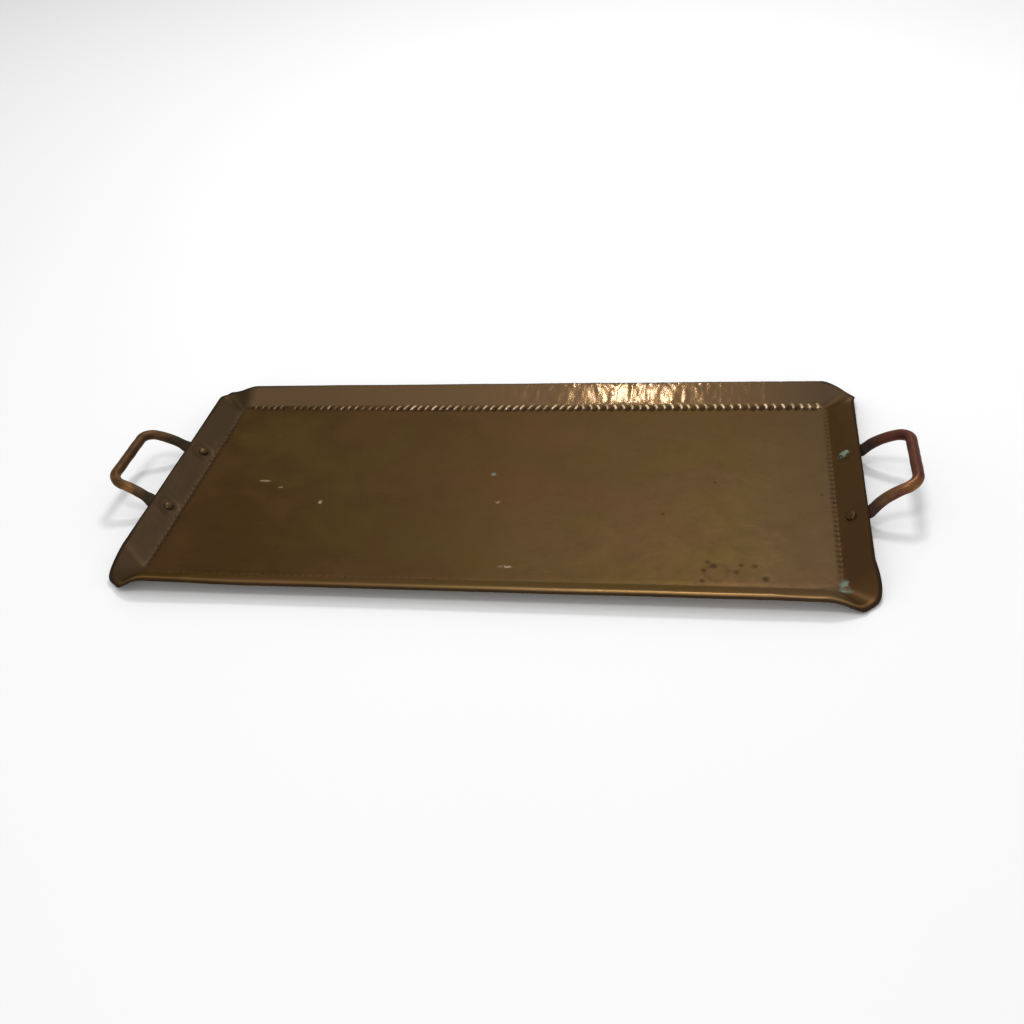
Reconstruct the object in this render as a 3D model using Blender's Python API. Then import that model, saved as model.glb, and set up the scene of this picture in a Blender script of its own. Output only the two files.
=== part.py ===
"""Hammered copper serving tray with two riveted rod handles.

The tray is one sheet: a flat floor, four sloped walls raised from it, and rims that dip to a low,
rounded lip at each corner. A D-shaped rod handle is riveted under the rim of each end wall.
Metres, +Z up, +X along the tray's length, origin under the centre of the floor's flat underside.
"""

import math

import bmesh
import bpy
from mathutils import Matrix, Vector
from mathutils.geometry import interpolate_bezier

# The tray's sheet and its flat floor, out to the line where the walls turn up.
SHEET = 0.0012
FLOOR_HALF_LENGTH = 0.3100
FLOOR_HALF_WIDTH = 0.1355
FLOOR_CORNER_RADIUS = 0.006
BEND = 0.0015

# The walls, measured at the inner skin from the floor's upper face.
END_FLARE = 0.0230
SIDE_FLARE = 0.0265
END_WALL_HEIGHT = 0.0168
SIDE_WALL_HEIGHT = 0.0141

# The lip at each corner, where the rim dips and spreads.
LIP_HEIGHT = 0.0062
LIP_SPREAD_END = 0.0040
LIP_SPREAD_SIDE = 0.0020
LIP_RADIUS = 0.0240
DIP_LENGTH = 0.0280
DIP_STEPS = 5
CORNER_STEPS = 8

# The rivets, through the end wall and the handle's pad, square to the wall.
RIVET_X = 0.3200
RIVET_Y = 0.0457
HEAD_RADIUS = 0.0050
HEAD_HEIGHT = 0.0022
SHANK_RADIUS = 0.0025
TAIL_RADIUS = 0.0042
TAIL_HEIGHT = 0.0017
RIVET_SIDES = 20
DOME_STEPS = 4

# The handles: a round rod bent to a D, with each end hammered flat into a pad under the wall.
# Each was bent by hand, so the bar's height and length differ a little, and so does its place.
HANDLES = {
    "right": {"turn": 0, "shift": -0.0020, "bar_half_length": 0.0376, "bar_z": 0.0384},
    "left": {"turn": math.pi, "shift": -0.0006, "bar_half_length": 0.0410, "bar_z": 0.0352},
}
BAR_X = 0.3742
ROD_RADIUS = 0.0050
ROD_BEND_RADIUS = 0.0140
LEG_START_SLOPE = math.radians(45)
LEG_END_SLOPE = math.radians(20)
PAD_THICKNESS = 0.0026
PAD_WIDTH = 0.0165
PAD_BELOW_RIVET = 0.0070
PAD_ABOVE_RIVET = 0.0050
PAD_SQUARENESS = 0.55
PAD_TIP_STEPS = 4
RIM_THICKNESS = 0.0070
NECK_LENGTH = 0.0095
NECK_STEPS = 3
LEG_STEPS = 12
ROD_BEND_STEPS = 8
ROD_SIDES = 16

# Clearance between touching pieces.
GAP = 0.0003

WALL_SLOPE = math.atan2(END_WALL_HEIGHT, END_FLARE)
WALL_LENGTH = math.hypot(END_WALL_HEIGHT, END_FLARE)
UP_THE_WALL = Vector((math.cos(WALL_SLOPE), 0, math.sin(WALL_SLOPE)))
OUT_OF_WALL = Vector((math.sin(WALL_SLOPE), 0, -math.cos(WALL_SLOPE)))


def smooth_step(t):
    return t * t * (3 - 2 * t)


def mix(a, b, t):
    return a + (b - a) * t


def clear_scene():
    for obj in list(bpy.data.objects):
        bpy.data.objects.remove(obj, do_unlink=True)


def make_material(name, colour, roughness, metallic=1.0):
    material = bpy.data.materials.new(name)
    material.use_nodes = True
    shader = material.node_tree.nodes["Principled BSDF"]
    shader.inputs["Base Color"].default_value = (*colour, 1)
    shader.inputs["Roughness"].default_value = roughness
    shader.inputs["Metallic"].default_value = metallic
    return material


def loft(name, rings, material, cap_end=True):
    """Skin a run of rings with the same number of points, closed by flat caps."""
    bm = bmesh.new()
    loops = [[bm.verts.new(point) for point in ring] for ring in rings]
    for lower, upper in zip(loops, loops[1:]):
        for index in range(len(lower)):
            after = (index + 1) % len(lower)
            bm.faces.new((lower[index], lower[after], upper[after], upper[index]))
    bm.faces.new(list(reversed(loops[0])))
    if cap_end:
        bm.faces.new(loops[-1])
    mesh = bpy.data.meshes.new(name)
    bm.to_mesh(mesh)
    bm.free()
    mesh.materials.append(material)
    obj = bpy.data.objects.new(name, mesh)
    bpy.context.scene.collection.objects.link(obj)
    return obj


def shade_round(obj, angle=math.radians(35)):
    obj.data.shade_smooth()
    obj.data.set_sharp_from_angle(angle=angle)


def wall_point(distance, offset, y):
    """A point by the right-hand end wall: distance up it, offset outward from its inner skin."""
    foot = Vector((FLOOR_HALF_LENGTH, y, SHEET))
    return foot + UP_THE_WALL * distance + OUT_OF_WALL * offset


def quarter_stations():
    """Stations from the end wall, round the +X +Y corner, to the long wall.

    Each is the floor's edge point, the same point set back by the bend, and the rim point.
    """
    lip_x = FLOOR_HALF_LENGTH + END_FLARE + LIP_SPREAD_END - LIP_RADIUS
    lip_y = FLOOR_HALF_WIDTH + SIDE_FLARE + LIP_SPREAD_SIDE - LIP_RADIUS
    floor_x = FLOOR_HALF_LENGTH - FLOOR_CORNER_RADIUS
    floor_y = FLOOR_HALF_WIDTH - FLOOR_CORNER_RADIUS
    stations = []

    for step in range(DIP_STEPS):
        dip = smooth_step(step / DIP_STEPS)
        y = lip_y - DIP_LENGTH * (1 - step / DIP_STEPS)
        rim_x = FLOOR_HALF_LENGTH + END_FLARE + LIP_SPREAD_END * dip
        rim = Vector((rim_x, y, SHEET + mix(END_WALL_HEIGHT, LIP_HEIGHT, dip)))
        edge = Vector((FLOOR_HALF_LENGTH, y * floor_y / lip_y, SHEET))
        stations.append((edge - Vector((BEND, 0, 0)), edge, rim))

    for step in range(CORNER_STEPS + 1):
        angle = math.pi / 2 * step / CORNER_STEPS
        outward = Vector((math.cos(angle), math.sin(angle), 0))
        rim = Vector((lip_x, lip_y, SHEET + LIP_HEIGHT)) + outward * LIP_RADIUS
        centre = Vector((floor_x, floor_y, SHEET))
        edge = centre + outward * FLOOR_CORNER_RADIUS
        stations.append((edge - outward * BEND, edge, rim))

    for step in range(1, DIP_STEPS + 1):
        dip = smooth_step(1 - step / DIP_STEPS)
        x = lip_x - DIP_LENGTH * step / DIP_STEPS
        rim_y = FLOOR_HALF_WIDTH + SIDE_FLARE + LIP_SPREAD_SIDE * dip
        rim = Vector((x, rim_y, SHEET + mix(SIDE_WALL_HEIGHT, LIP_HEIGHT, dip)))
        edge = Vector((x * floor_x / lip_x, FLOOR_HALF_WIDTH, SHEET))
        stations.append((edge - Vector((0, BEND, 0)), edge, rim))

    return stations


def mirrored(stations, x_side, y_side):
    return [tuple(Vector((p.x * x_side, p.y * y_side, p.z)) for p in station)
            for station in stations]


def make_pan(material):
    quarter = quarter_stations()
    around = mirrored(quarter, 1, 1)
    around += reversed(mirrored(quarter, -1, 1))
    around += mirrored(quarter, -1, -1)
    around += reversed(mirrored(quarter, 1, -1))

    floor_ring = []
    bend_ring = []
    middle_ring = []
    rim_ring = []
    for set_back, edge, rim in around:
        floor_ring.append(set_back)
        bend_ring.append(edge + (rim - edge).normalized() * BEND)
        middle_ring.append(edge.lerp(rim, 0.5))
        rim_ring.append(rim)

    pan = loft("tray_pan", (floor_ring, bend_ring, middle_ring, rim_ring), material, cap_end=False)
    pan.data.flip_normals()
    shade_round(pan, math.radians(25))
    solidify = pan.modifiers.new("sheet", "SOLIDIFY")
    solidify.thickness = SHEET
    solidify.offset = -1
    solidify.use_even_offset = True
    solidify.use_quality_normals = True
    return pan


def section(centre, side, up, half_width, half_thickness, squareness):
    """One ring of the rod: round at squareness 1, nearer a flat bar at lower values."""
    ring = []
    for index in range(ROD_SIDES):
        angle = math.tau * (index + 0.5) / ROD_SIDES
        across = math.copysign(abs(math.cos(angle)) ** squareness, math.cos(angle))
        above = math.copysign(abs(math.sin(angle)) ** squareness, math.sin(angle))
        ring.append(centre + side * across * half_width + up * above * half_thickness)
    return ring


def leg_rings(bar_half_length, bar_z):
    """Rings of a right-hand handle's leg at +Y, from the pad's tip to the middle of its bar."""
    rings = []
    rivet_distance = (RIVET_X - FLOOR_HALF_LENGTH) / math.cos(WALL_SLOPE)
    across = Vector((0, 1, 0))
    pad_half_width = PAD_WIDTH / 2
    pad_half_thickness = PAD_THICKNESS / 2

    def flat_ring(distance, half_width, half_thickness, squareness):
        offset = SHEET + GAP + half_thickness
        centre = wall_point(distance, offset, RIVET_Y)
        rings.append(section(centre, across, -OUT_OF_WALL, half_width, half_thickness, squareness))

    for step in range(1, PAD_TIP_STEPS + 1):
        angle = math.pi / 2 * step / PAD_TIP_STEPS
        distance = rivet_distance - PAD_BELOW_RIVET * math.cos(angle)
        flat_ring(distance, pad_half_width * math.sin(angle), pad_half_thickness, PAD_SQUARENESS)

    pad_end = rivet_distance + PAD_ABOVE_RIVET
    for step in range(NECK_STEPS + 1):
        t = step / NECK_STEPS
        half_thickness = mix(pad_half_thickness, RIM_THICKNESS / 2, smooth_step(t))
        flat_ring(mix(pad_end, WALL_LENGTH, t), pad_half_width, half_thickness,
                  mix(PAD_SQUARENESS, 1, t))

    corner = Vector((BAR_X, bar_half_length, bar_z))
    start = wall_point(WALL_LENGTH, SHEET + GAP + RIM_THICKNESS / 2, RIVET_Y)
    lean = (bar_half_length - RIVET_Y) / (BAR_X - start.x)
    start_way = Vector((math.cos(LEG_START_SLOPE), lean, math.sin(LEG_START_SLOPE))).normalized()
    end_way = Vector((math.cos(LEG_END_SLOPE), lean, math.sin(LEG_END_SLOPE))).normalized()
    turn = end_way.angle(-across)
    end = corner - end_way * ROD_BEND_RADIUS * math.tan(turn / 2)
    reach = (end - start).length / 3
    route = interpolate_bezier(start, start + start_way * reach, end - end_way * reach, end,
                               LEG_STEPS + 1)
    ways = [(after - before).normalized() for before, after in zip(route, route[2:])] + [end_way]

    for centre, way in zip(route[1:], ways):
        rounding = smooth_step(min(1, (centre - start).length / NECK_LENGTH))
        up = way.cross(across).normalized()
        rings.append(section(centre, up.cross(way), up, mix(pad_half_width, ROD_RADIUS, rounding),
                             mix(RIM_THICKNESS / 2, ROD_RADIUS, rounding), 1))

    up = Vector((-math.sin(LEG_END_SLOPE), 0, math.cos(LEG_END_SLOPE)))
    inward = end_way.cross(up)
    pivot = end + inward * ROD_BEND_RADIUS
    for step in range(1, ROD_BEND_STEPS + 1):
        angle = turn * step / ROD_BEND_STEPS
        centre = pivot - inward * ROD_BEND_RADIUS * math.cos(angle)
        centre += end_way * ROD_BEND_RADIUS * math.sin(angle)
        way = end_way * math.cos(angle) + inward * math.sin(angle)
        rings.append(section(centre, up.cross(way), up, ROD_RADIUS, ROD_RADIUS, 1))

    return rings


def make_handle(name, shape, material):
    leg = leg_rings(shape["bar_half_length"], shape["bar_z"])
    far_leg = [[Vector((p.x, -p.y, p.z)) for p in ring] for ring in reversed(leg)]
    handle = loft(name, leg + far_leg, material)
    handle.location.y = shape["shift"]
    handle.rotation_euler.z = shape["turn"]
    shade_round(handle, math.radians(45))
    return handle


def turned_piece(name, profile, sides, material):
    """A solid turned about local Z from (radius, height) pairs that run upward."""
    rings = []
    for radius, height in profile:
        angles = [math.tau * index / sides for index in range(sides)]
        rings.append([Vector((radius * math.cos(a), radius * math.sin(a), height)) for a in angles])
    return loft(name, rings, material)


def rivet_profile():
    """From the head's crown, inside the tray, down through the wall and the pad to the tail."""
    tail_base = SHEET + PAD_THICKNESS + 2 * GAP
    profile = []
    for step in range(1, DOME_STEPS + 1):
        angle = math.pi / 2 * step / DOME_STEPS
        height = -GAP - HEAD_HEIGHT * math.cos(angle)
        profile.append((HEAD_RADIUS * math.sin(angle), height))
    profile.append((SHANK_RADIUS, -GAP))
    profile.append((SHANK_RADIUS, tail_base))
    for step in range(DOME_STEPS):
        angle = math.pi / 2 * step / DOME_STEPS
        height = tail_base + TAIL_HEIGHT * math.sin(angle)
        profile.append((TAIL_RADIUS * math.cos(angle), height))
    return profile


def rivet_frame(shape, y):
    """Where a rivet meets the wall's inner skin, with local Z pointing out of the wall."""
    distance = (RIVET_X - FLOOR_HALF_LENGTH) / math.cos(WALL_SLOPE)
    facing = OUT_OF_WALL.to_track_quat("Z", "Y").to_matrix().to_4x4()
    seat = Matrix.Translation(wall_point(distance, 0, y)) @ facing
    place = Matrix.Translation((0, shape["shift"], 0))
    return place @ Matrix.Rotation(shape["turn"], 4, "Z") @ seat


def cut(obj, cutter):
    boolean = obj.modifiers.new(cutter.name, "BOOLEAN")
    boolean.operation = "DIFFERENCE"
    boolean.solver = "EXACT"
    boolean.object = cutter


def main():
    clear_scene()
    tray_metal = make_material("tray_metal", (0.21, 0.13, 0.065), 0.38)
    handle_metal = make_material("handle_metal", (0.25, 0.12, 0.075), 0.42)
    rivet_metal = make_material("rivet_metal", (0.17, 0.11, 0.07), 0.45)

    pan = make_pan(tray_metal)
    rivet = turned_piece("rivet", rivet_profile(), RIVET_SIDES, rivet_metal)
    shade_round(rivet)
    rivet_mesh = rivet.data
    bpy.data.objects.remove(rivet)

    hole_radius = SHANK_RADIUS + GAP
    hole_end = PAD_THICKNESS * 3
    hole = turned_piece("hole", ((hole_radius, -hole_end), (hole_radius, hole_end)),
                        RIVET_SIDES, rivet_metal)
    hole_mesh = hole.data
    bpy.data.objects.remove(hole)

    for side, shape in HANDLES.items():
        handle = make_handle("handle_" + side, shape, handle_metal)
        facing = math.cos(shape["turn"])
        for end, y in (("front", -RIVET_Y), ("back", RIVET_Y)):
            place = rivet_frame(shape, y * facing)
            name = side + "_" + end
            piece = bpy.data.objects.new("rivet_" + name, rivet_mesh)
            bpy.context.scene.collection.objects.link(piece)
            piece.matrix_world = place

            cutter = bpy.data.objects.new("hole_" + name, hole_mesh)
            bpy.context.scene.collection.objects.link(cutter)
            cutter.matrix_world = place
            cutter.hide_render = True
            cutter.display_type = "WIRE"
            cut(pan, cutter)
            cut(handle, cutter)


main()
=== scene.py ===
import math
import random

import bmesh
import bpy
from mathutils import Matrix, Vector, noise


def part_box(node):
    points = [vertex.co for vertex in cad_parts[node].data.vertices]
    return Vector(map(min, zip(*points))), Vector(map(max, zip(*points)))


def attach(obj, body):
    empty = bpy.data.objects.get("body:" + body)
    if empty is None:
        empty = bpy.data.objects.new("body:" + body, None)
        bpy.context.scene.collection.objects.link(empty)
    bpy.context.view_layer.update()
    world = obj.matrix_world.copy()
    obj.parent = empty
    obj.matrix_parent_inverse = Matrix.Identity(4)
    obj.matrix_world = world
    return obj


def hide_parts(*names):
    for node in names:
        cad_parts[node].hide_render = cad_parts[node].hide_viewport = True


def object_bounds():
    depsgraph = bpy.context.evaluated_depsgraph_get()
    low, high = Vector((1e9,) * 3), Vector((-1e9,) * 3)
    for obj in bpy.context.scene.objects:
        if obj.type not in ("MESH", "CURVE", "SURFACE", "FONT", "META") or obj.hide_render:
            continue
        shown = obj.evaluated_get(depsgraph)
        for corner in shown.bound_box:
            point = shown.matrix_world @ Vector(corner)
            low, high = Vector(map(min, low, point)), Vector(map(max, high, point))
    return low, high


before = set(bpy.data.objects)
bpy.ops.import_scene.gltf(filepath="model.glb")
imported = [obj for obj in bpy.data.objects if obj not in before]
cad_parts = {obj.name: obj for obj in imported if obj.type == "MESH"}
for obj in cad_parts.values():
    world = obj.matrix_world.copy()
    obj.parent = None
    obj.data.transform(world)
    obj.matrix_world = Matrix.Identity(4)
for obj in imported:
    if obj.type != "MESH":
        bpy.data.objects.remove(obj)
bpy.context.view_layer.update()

random.seed(7)
print("frame loaded:", ", ".join(sorted(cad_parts)))


# small helpers

def deselectAll():
    for obj in list(bpy.context.selected_objects):
        obj.select_set(False)


def useOnly(obj):
    deselectAll()
    obj.select_set(True)
    bpy.context.view_layer.objects.active = obj


def smoothStep(low, high, value):
    t = min(1.0, max(0.0, (value - low) / (high - low)))
    return t * t * (3 - 2 * t)


def mix(a, b, t):
    return a + (b - a) * t


def applyModifiers(obj):
    useOnly(obj)
    for modifier in list(obj.modifiers):
        bpy.ops.object.modifier_apply(modifier=modifier.name)


def placeInMesh(obj, matrix=None):
    # the piece's place goes into its mesh, so its object stays at the origin
    useOnly(obj)
    if matrix is not None:
        obj.matrix_world = matrix
        bpy.context.view_layer.update()
    bpy.ops.object.transform_apply(location=True, rotation=True, scale=True)


def finishPiece(obj, node, material):
    obj.data.materials.clear()
    obj.data.materials.append(material)
    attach(obj, "root")
    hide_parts(node)


# shader maths: a wrapped socket takes + - * / and keeps its node tree

class Wire:
    def __init__(self, tree, socket):
        self.tree = tree
        self.socket = socket

    def math(self, operation, *others):
        values = [self] + list(others)
        return self.tree.node("ShaderNodeMath", {"operation": operation}, dict(enumerate(values)))

    def __add__(self, other):
        return self.math("ADD", other)

    __radd__ = __add__

    def __mul__(self, other):
        return self.math("MULTIPLY", other)

    __rmul__ = __mul__

    def __sub__(self, other):
        return self.math("SUBTRACT", other)

    def __rsub__(self, other):
        return self.tree.node("ShaderNodeMath", {"operation": "SUBTRACT"}, {0: other, 1: self})

    def __truediv__(self, other):
        return self.math("DIVIDE", other)

    def __pow__(self, other):
        return self.math("POWER", other)

    def clamp(self):
        return self.tree.node("ShaderNodeClamp", {}, {"Value": self})

    def between(self, low, high):
        # 0 below low, 1 above high, smooth in between
        settings = {"interpolation_type": "SMOOTHSTEP", "clamp": True}
        return self.tree.node("ShaderNodeMapRange", settings,
                              {"Value": self, "From Min": low, "From Max": high})


class Finish:
    def __init__(self, name):
        self.material = bpy.data.materials.new(name)
        self.material.use_nodes = True
        self.nodes = self.material.node_tree.nodes
        self.links = self.material.node_tree.links
        self.shader = self.nodes["Principled BSDF"]
        self.place = self.node("ShaderNodeTexCoord", {}, {}, "Object")

    def node(self, kind, settings, values, output=0):
        made = self.nodes.new(kind)
        for key, value in settings.items():
            setattr(made, key, value)
        for key, value in values.items():
            self.plug(made.inputs[key], value)
        return Wire(self, made.outputs[output])

    def plug(self, socket, value):
        if isinstance(value, Wire):
            self.links.new(value.socket, socket)
        elif socket.type == "RGBA" and len(value) == 3:
            socket.default_value = (*value, 1)
        else:
            socket.default_value = value

    def feed(self, **values):
        names = {"colour": "Base Color", "roughness": "Roughness", "metallic": "Metallic",
                 "normal": "Normal", "coat": "Coat Weight", "coatRoughness": "Coat Roughness",
                 "specular": "Specular IOR Level", "tint": "Specular Tint"}
        for key, value in values.items():
            self.plug(self.shader.inputs[names[key]], value)

    def mapped(self, scale=(1, 1, 1), location=(0, 0, 0), rotation=(0, 0, 0)):
        return self.node("ShaderNodeMapping", {"vector_type": "POINT"},
                         {"Vector": self.place, "Scale": scale,
                          "Location": location, "Rotation": rotation})

    def noise(self, scale, detail=3.0, roughness=0.5, distortion=0.0, vector=None):
        return self.node("ShaderNodeTexNoise", {},
                         {"Vector": vector or self.place, "Scale": scale, "Detail": detail,
                          "Roughness": roughness, "Distortion": distortion})

    def cells(self, scale):
        return self.node("ShaderNodeTexVoronoi", {"feature": "SMOOTH_F1"},
                         {"Vector": self.place, "Scale": scale}, "Distance")

    def painted(self, name):
        # a value that was written on the mesh's own points
        return self.node("ShaderNodeAttribute", {"attribute_name": name}, {}, "Fac")

    def blend(self, amount, first, second, kind="MIX"):
        made = self.nodes.new("ShaderNodeMix")
        made.data_type = "RGBA"
        made.blend_type = kind
        self.plug(made.inputs[0], amount)
        self.plug(made.inputs[6], first)
        self.plug(made.inputs[7], second)
        return Wire(self, made.outputs[2])

    def axis(self, index):
        return self.node("ShaderNodeSeparateXYZ", {}, {0: self.place}, index)

    def vector(self, operation, *values, output=0):
        return self.node("ShaderNodeVectorMath", {"operation": operation},
                         dict(enumerate(values)), output)

    def away(self, centre, stretch=(1, 1, 1)):
        # distance from a point, longer or shorter along each axis where it is stretched
        offset = self.vector("MULTIPLY", self.vector("SUBTRACT", self.place, centre), stretch)
        return self.vector("LENGTH", offset, output="Value")

    def bump(self, height, distance, strength, normal=None):
        values = {"Height": height, "Distance": distance, "Strength": strength}
        if normal is not None:
            values["Normal"] = normal
        return self.node("ShaderNodeBump", {}, values)


# the pan: one sheet, walls raised from a floor, a row of struck notches along their foot

pan = {
    "sheet": 0.0012,
    "floorHalfLength": 0.310,
    "floorHalfWidth": 0.1355,
    "floorCorner": 0.006,
    "floorCornerLeast": 0.004,
    "endFlare": 0.0230,
    "sideFlare": 0.0265,
    "endHeight": 0.0168,
    "sideHeight": 0.0141,
    "bend": 0.0016,
    "bendHalf": 0.0015,
    "crestLength": 0.10,
    "steps": {"back": 520, "front": 520, "left": 216, "right": 216, "corner": 40},
    "floorRings": (-14, -9.6, -8.2, -7, -6, -5, -4, -3, -2.1, -1.3, -0.6, 0),
    "footRings": (0.8, 1.7, 2.8, 4.0, 5.4, 7.0),
    "wallRings": (0.33, 0.50, 0.65, 0.77, 0.84, 0.89, 0.93, 0.965, 0.985, 1.0),
    "floorSteps": (58, 24),
    "floorMargin": 0.006,
    "floorLift": 0.0004,
    "liftWithin": 0.006,
    "floorSwell": 0.0004,
    "planish": 0.00042,
    "planishSize": 0.0105,
    "planishLevel": 0.35,
    "planishMost": 0.85,
    "crinkle": 0.00017,
    "crinkleSize": 0.0042,
    "workedFrom": (0.003, 0.009),
    "workedLightly": 0.35,
    "workedHard": 0.9,
    "workedHardFrom": (-0.12, 0.10),
    "rimWave": 0.0004,
    "edgeRound": 0.00035,
    "edgeRings": 2,
    "rollWidth": 0.19,
    "rollDrop": 0.0032,
    "rollKnee": 0.07,
    # how bright the front rim's crest is painted with a highlight, counted in rings down from the
    # cut edge
    "crestHighlightRings": {3: 0.15, 4: 1.0},
    # where the corners' folds are eased: from and up to in X and in Y, and in reach or height
    "easeLow": ((0.284, 0.304), (0.104, 0.126), (-0.0055, -0.0020)),
    "easeHigh": ((0.250, 0.280), (0.075, 0.105), (0.002, 0.005)),
    "easing": 0.5,
    "easingSteps": 60,
    "creaseAngle": 55,
}

# each corner is a pouring lip of its own: how far back along the end wall and the side wall the
# rim starts to fall, its tip's offset from where the two rims would meet and its height, its
# heading there, how full its curves are, and how far the side wall's rim rises beside it
corners = {
    (1, 1): {"reachEnd": 0.042, "reachSide": 0.0285, "tip": (-0.0014, -0.0028, 0.0014),
             "heading": 49, "fullness": (0.0110, 0.0160, 0.0130), "crest": 0.0},
    (-1, 1): {"reachEnd": 0.031, "reachSide": 0.034, "tip": (-0.0026, -0.0002, 0.0066),
              "heading": 3, "fullness": (0.0130, 0.0075, 0.0135), "crest": 0.0},
    (-1, -1): {"reachEnd": 0.0495, "reachSide": 0.034, "tip": (-0.0012, -0.0086, 0.0025),
               "heading": 34, "fullness": (0.0155, 0.0160, 0.0295), "crest": 0.0024},
    (1, -1): {"reachEnd": 0.047, "reachSide": 0.037, "tip": (-0.0012, -0.0086, 0.0012),
              "heading": 41, "fullness": (0.0070, 0.0160, 0.0330), "crest": 0.0},
}

# the punch strokes: pitch along each wall, half width and length, how far up from the foot,
# depth, lean, where they are struck in full, and how much depth and size they keep elsewhere
strokes = {
    "back": {"pitch": (0.0076, 0.0086), "half": (0.0034, 0.0047), "up": (0.0004, -0.0026),
             "depth": 0.00110, "lean": 0.22, "strong": (-0.12, 1.0), "faint": 0.75, "small": 0.72},
    "front": {"pitch": (0.0072, 0.0072), "half": (0.0022, 0.0020), "up": (0.0001, 0.0001),
              "depth": 0.00040, "lean": 0.15, "strong": (-0.262, -0.045),
              "faint": 0.12, "small": 1.0},
    "left": {"pitch": (0.0072, 0.0072), "half": (0.0026, 0.0028), "up": (-0.0013, -0.0013),
             "depth": 0.00045, "lean": -0.10, "strong": (-1.0, 1.0), "faint": 1.0, "small": 1.0},
    "right": {"pitch": (0.0068, 0.0068), "half": (0.0021, 0.0036), "up": (-0.0018, -0.0018),
              "depth": 0.00042, "lean": 0.10, "strong": (-1.0, 1.0), "faint": 1.0, "small": 1.0},
}
# what all strokes share; the lip beside one is counted in its own half widths from its middle
punch = {
    "clear": 0.0085,
    "reach": 0.0095,
    "missed": (-0.257,),
    "fade": 0.05,
    "upFrom": (-0.30, -0.05),
    "unevenPlace": 0.0005,
    "unevenLean": 0.12,
    "unevenDepth": (0.65, 1.15),
    "unevenPitch": (0.94, 1.06),
    "hollow": (0.15, 1.1),
    "lipAt": 1.2,
    "lipWidth": 0.22,
    "lipHeight": 0.30,
    "lipTurnsAt": 0.06,
    "lipSide": (-0.3, 0.7),
    "lipClear": 0.0010,
}


def strikeRow(name, halfSpan):
    # centres of the strokes along one wall, each a little off its place
    row = strokes[name]
    low, high = row["strong"]
    fade, place, lean = punch["fade"], punch["unevenPlace"], punch["unevenLean"]
    centres = []
    at = -halfSpan + punch["clear"]
    while at < halfSpan - punch["clear"]:
        missed = name == "back" and any(abs(at - gap) < 0.004 for gap in punch["missed"])
        strength = smoothStep(low - fade, low, at) * (1 - smoothStep(high, high + fade, at))
        off = mix(*row["up"], smoothStep(*punch["upFrom"], at))
        stroke = {"at": at, "off": off + random.uniform(-place, place),
                  "lean": row["lean"] + random.uniform(-lean, lean),
                  "depth": row["depth"] * random.uniform(*punch["unevenDepth"]),
                  "size": mix(row["small"], 1, strength)}
        stroke["depth"] *= mix(row["faint"], 1, strength)
        if not missed:
            centres.append(stroke)
        pitch = mix(*row["pitch"], (at + halfSpan) / (2 * halfSpan))
        at += pitch * random.uniform(*punch["unevenPitch"])
    return centres


rows = {name: strikeRow(name, pan["floorHalfLength"]) for name in ("back", "front")}
rows.update({name: strikeRow(name, pan["floorHalfWidth"]) for name in ("left", "right")})


# the sheet sinks a little in a ring round each rivet, where it was drawn up tight
rivetDish = {"across": 0.01238, "inner": 0.0040, "bottom": 0.0078, "outer": 0.0125,
             "depth": 0.00040}
rivetSpots = {"left": [], "right": []}
for wall, spots in rivetSpots.items():
    for end in ("front", "back"):
        low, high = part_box("rivet_" + wall + "_" + end)
        spots.append((low[1] + high[1]) / 2)


def dishDepth(wall, along, across):
    deepest = 0.0
    for spot in rivetSpots.get(wall, ()):
        reach = math.hypot(along - spot, across - rivetDish["across"])
        sink = (smoothStep(rivetDish["inner"], rivetDish["bottom"], reach)
                * (1 - smoothStep(rivetDish["bottom"], rivetDish["outer"], reach)))
        deepest = max(deepest, sink * rivetDish["depth"])
    return deepest


def strikeDepth(wall, along, across):
    # how far the sheet is driven out at a point, and how far it is thrown up beside the stroke
    if wall not in rows or abs(across) > punch["reach"]:
        return 0.0, 0.0
    halfWidth, halfLength = strokes[wall]["half"]
    hollow = ridge = 0.0
    for stroke in rows[wall]:
        gap = along - stroke["at"]
        if abs(gap) > punch["reach"]:
            continue
        above = across - stroke["off"]
        gap -= above * stroke["lean"]
        reach = math.hypot(gap / halfWidth, above / halfLength) / stroke["size"]
        hollow = max(hollow, stroke["depth"] * (1 - smoothStep(*punch["hollow"], reach)))
        fromLip = (reach - punch["lipAt"]) / punch["lipWidth"]
        thrown = stroke["depth"] * punch["lipHeight"] * math.exp(-fromLip ** 2)
        # the lip stands on the far side of its stroke, seen from a little right of the middle
        turned = gap / halfWidth * (1 if along > punch["lipTurnsAt"] else -1)
        thrown *= smoothStep(*punch["lipSide"], turned)
        ridge = max(ridge, thrown * smoothStep(-punch["lipClear"], punch["lipClear"], above))
    return hollow, ridge


def curveBetween(a, b, c, d, t):
    left = 1 - t
    return a * left ** 3 + b * 3 * left ** 2 * t + c * 3 * left * t ** 2 + d * t ** 3


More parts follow.
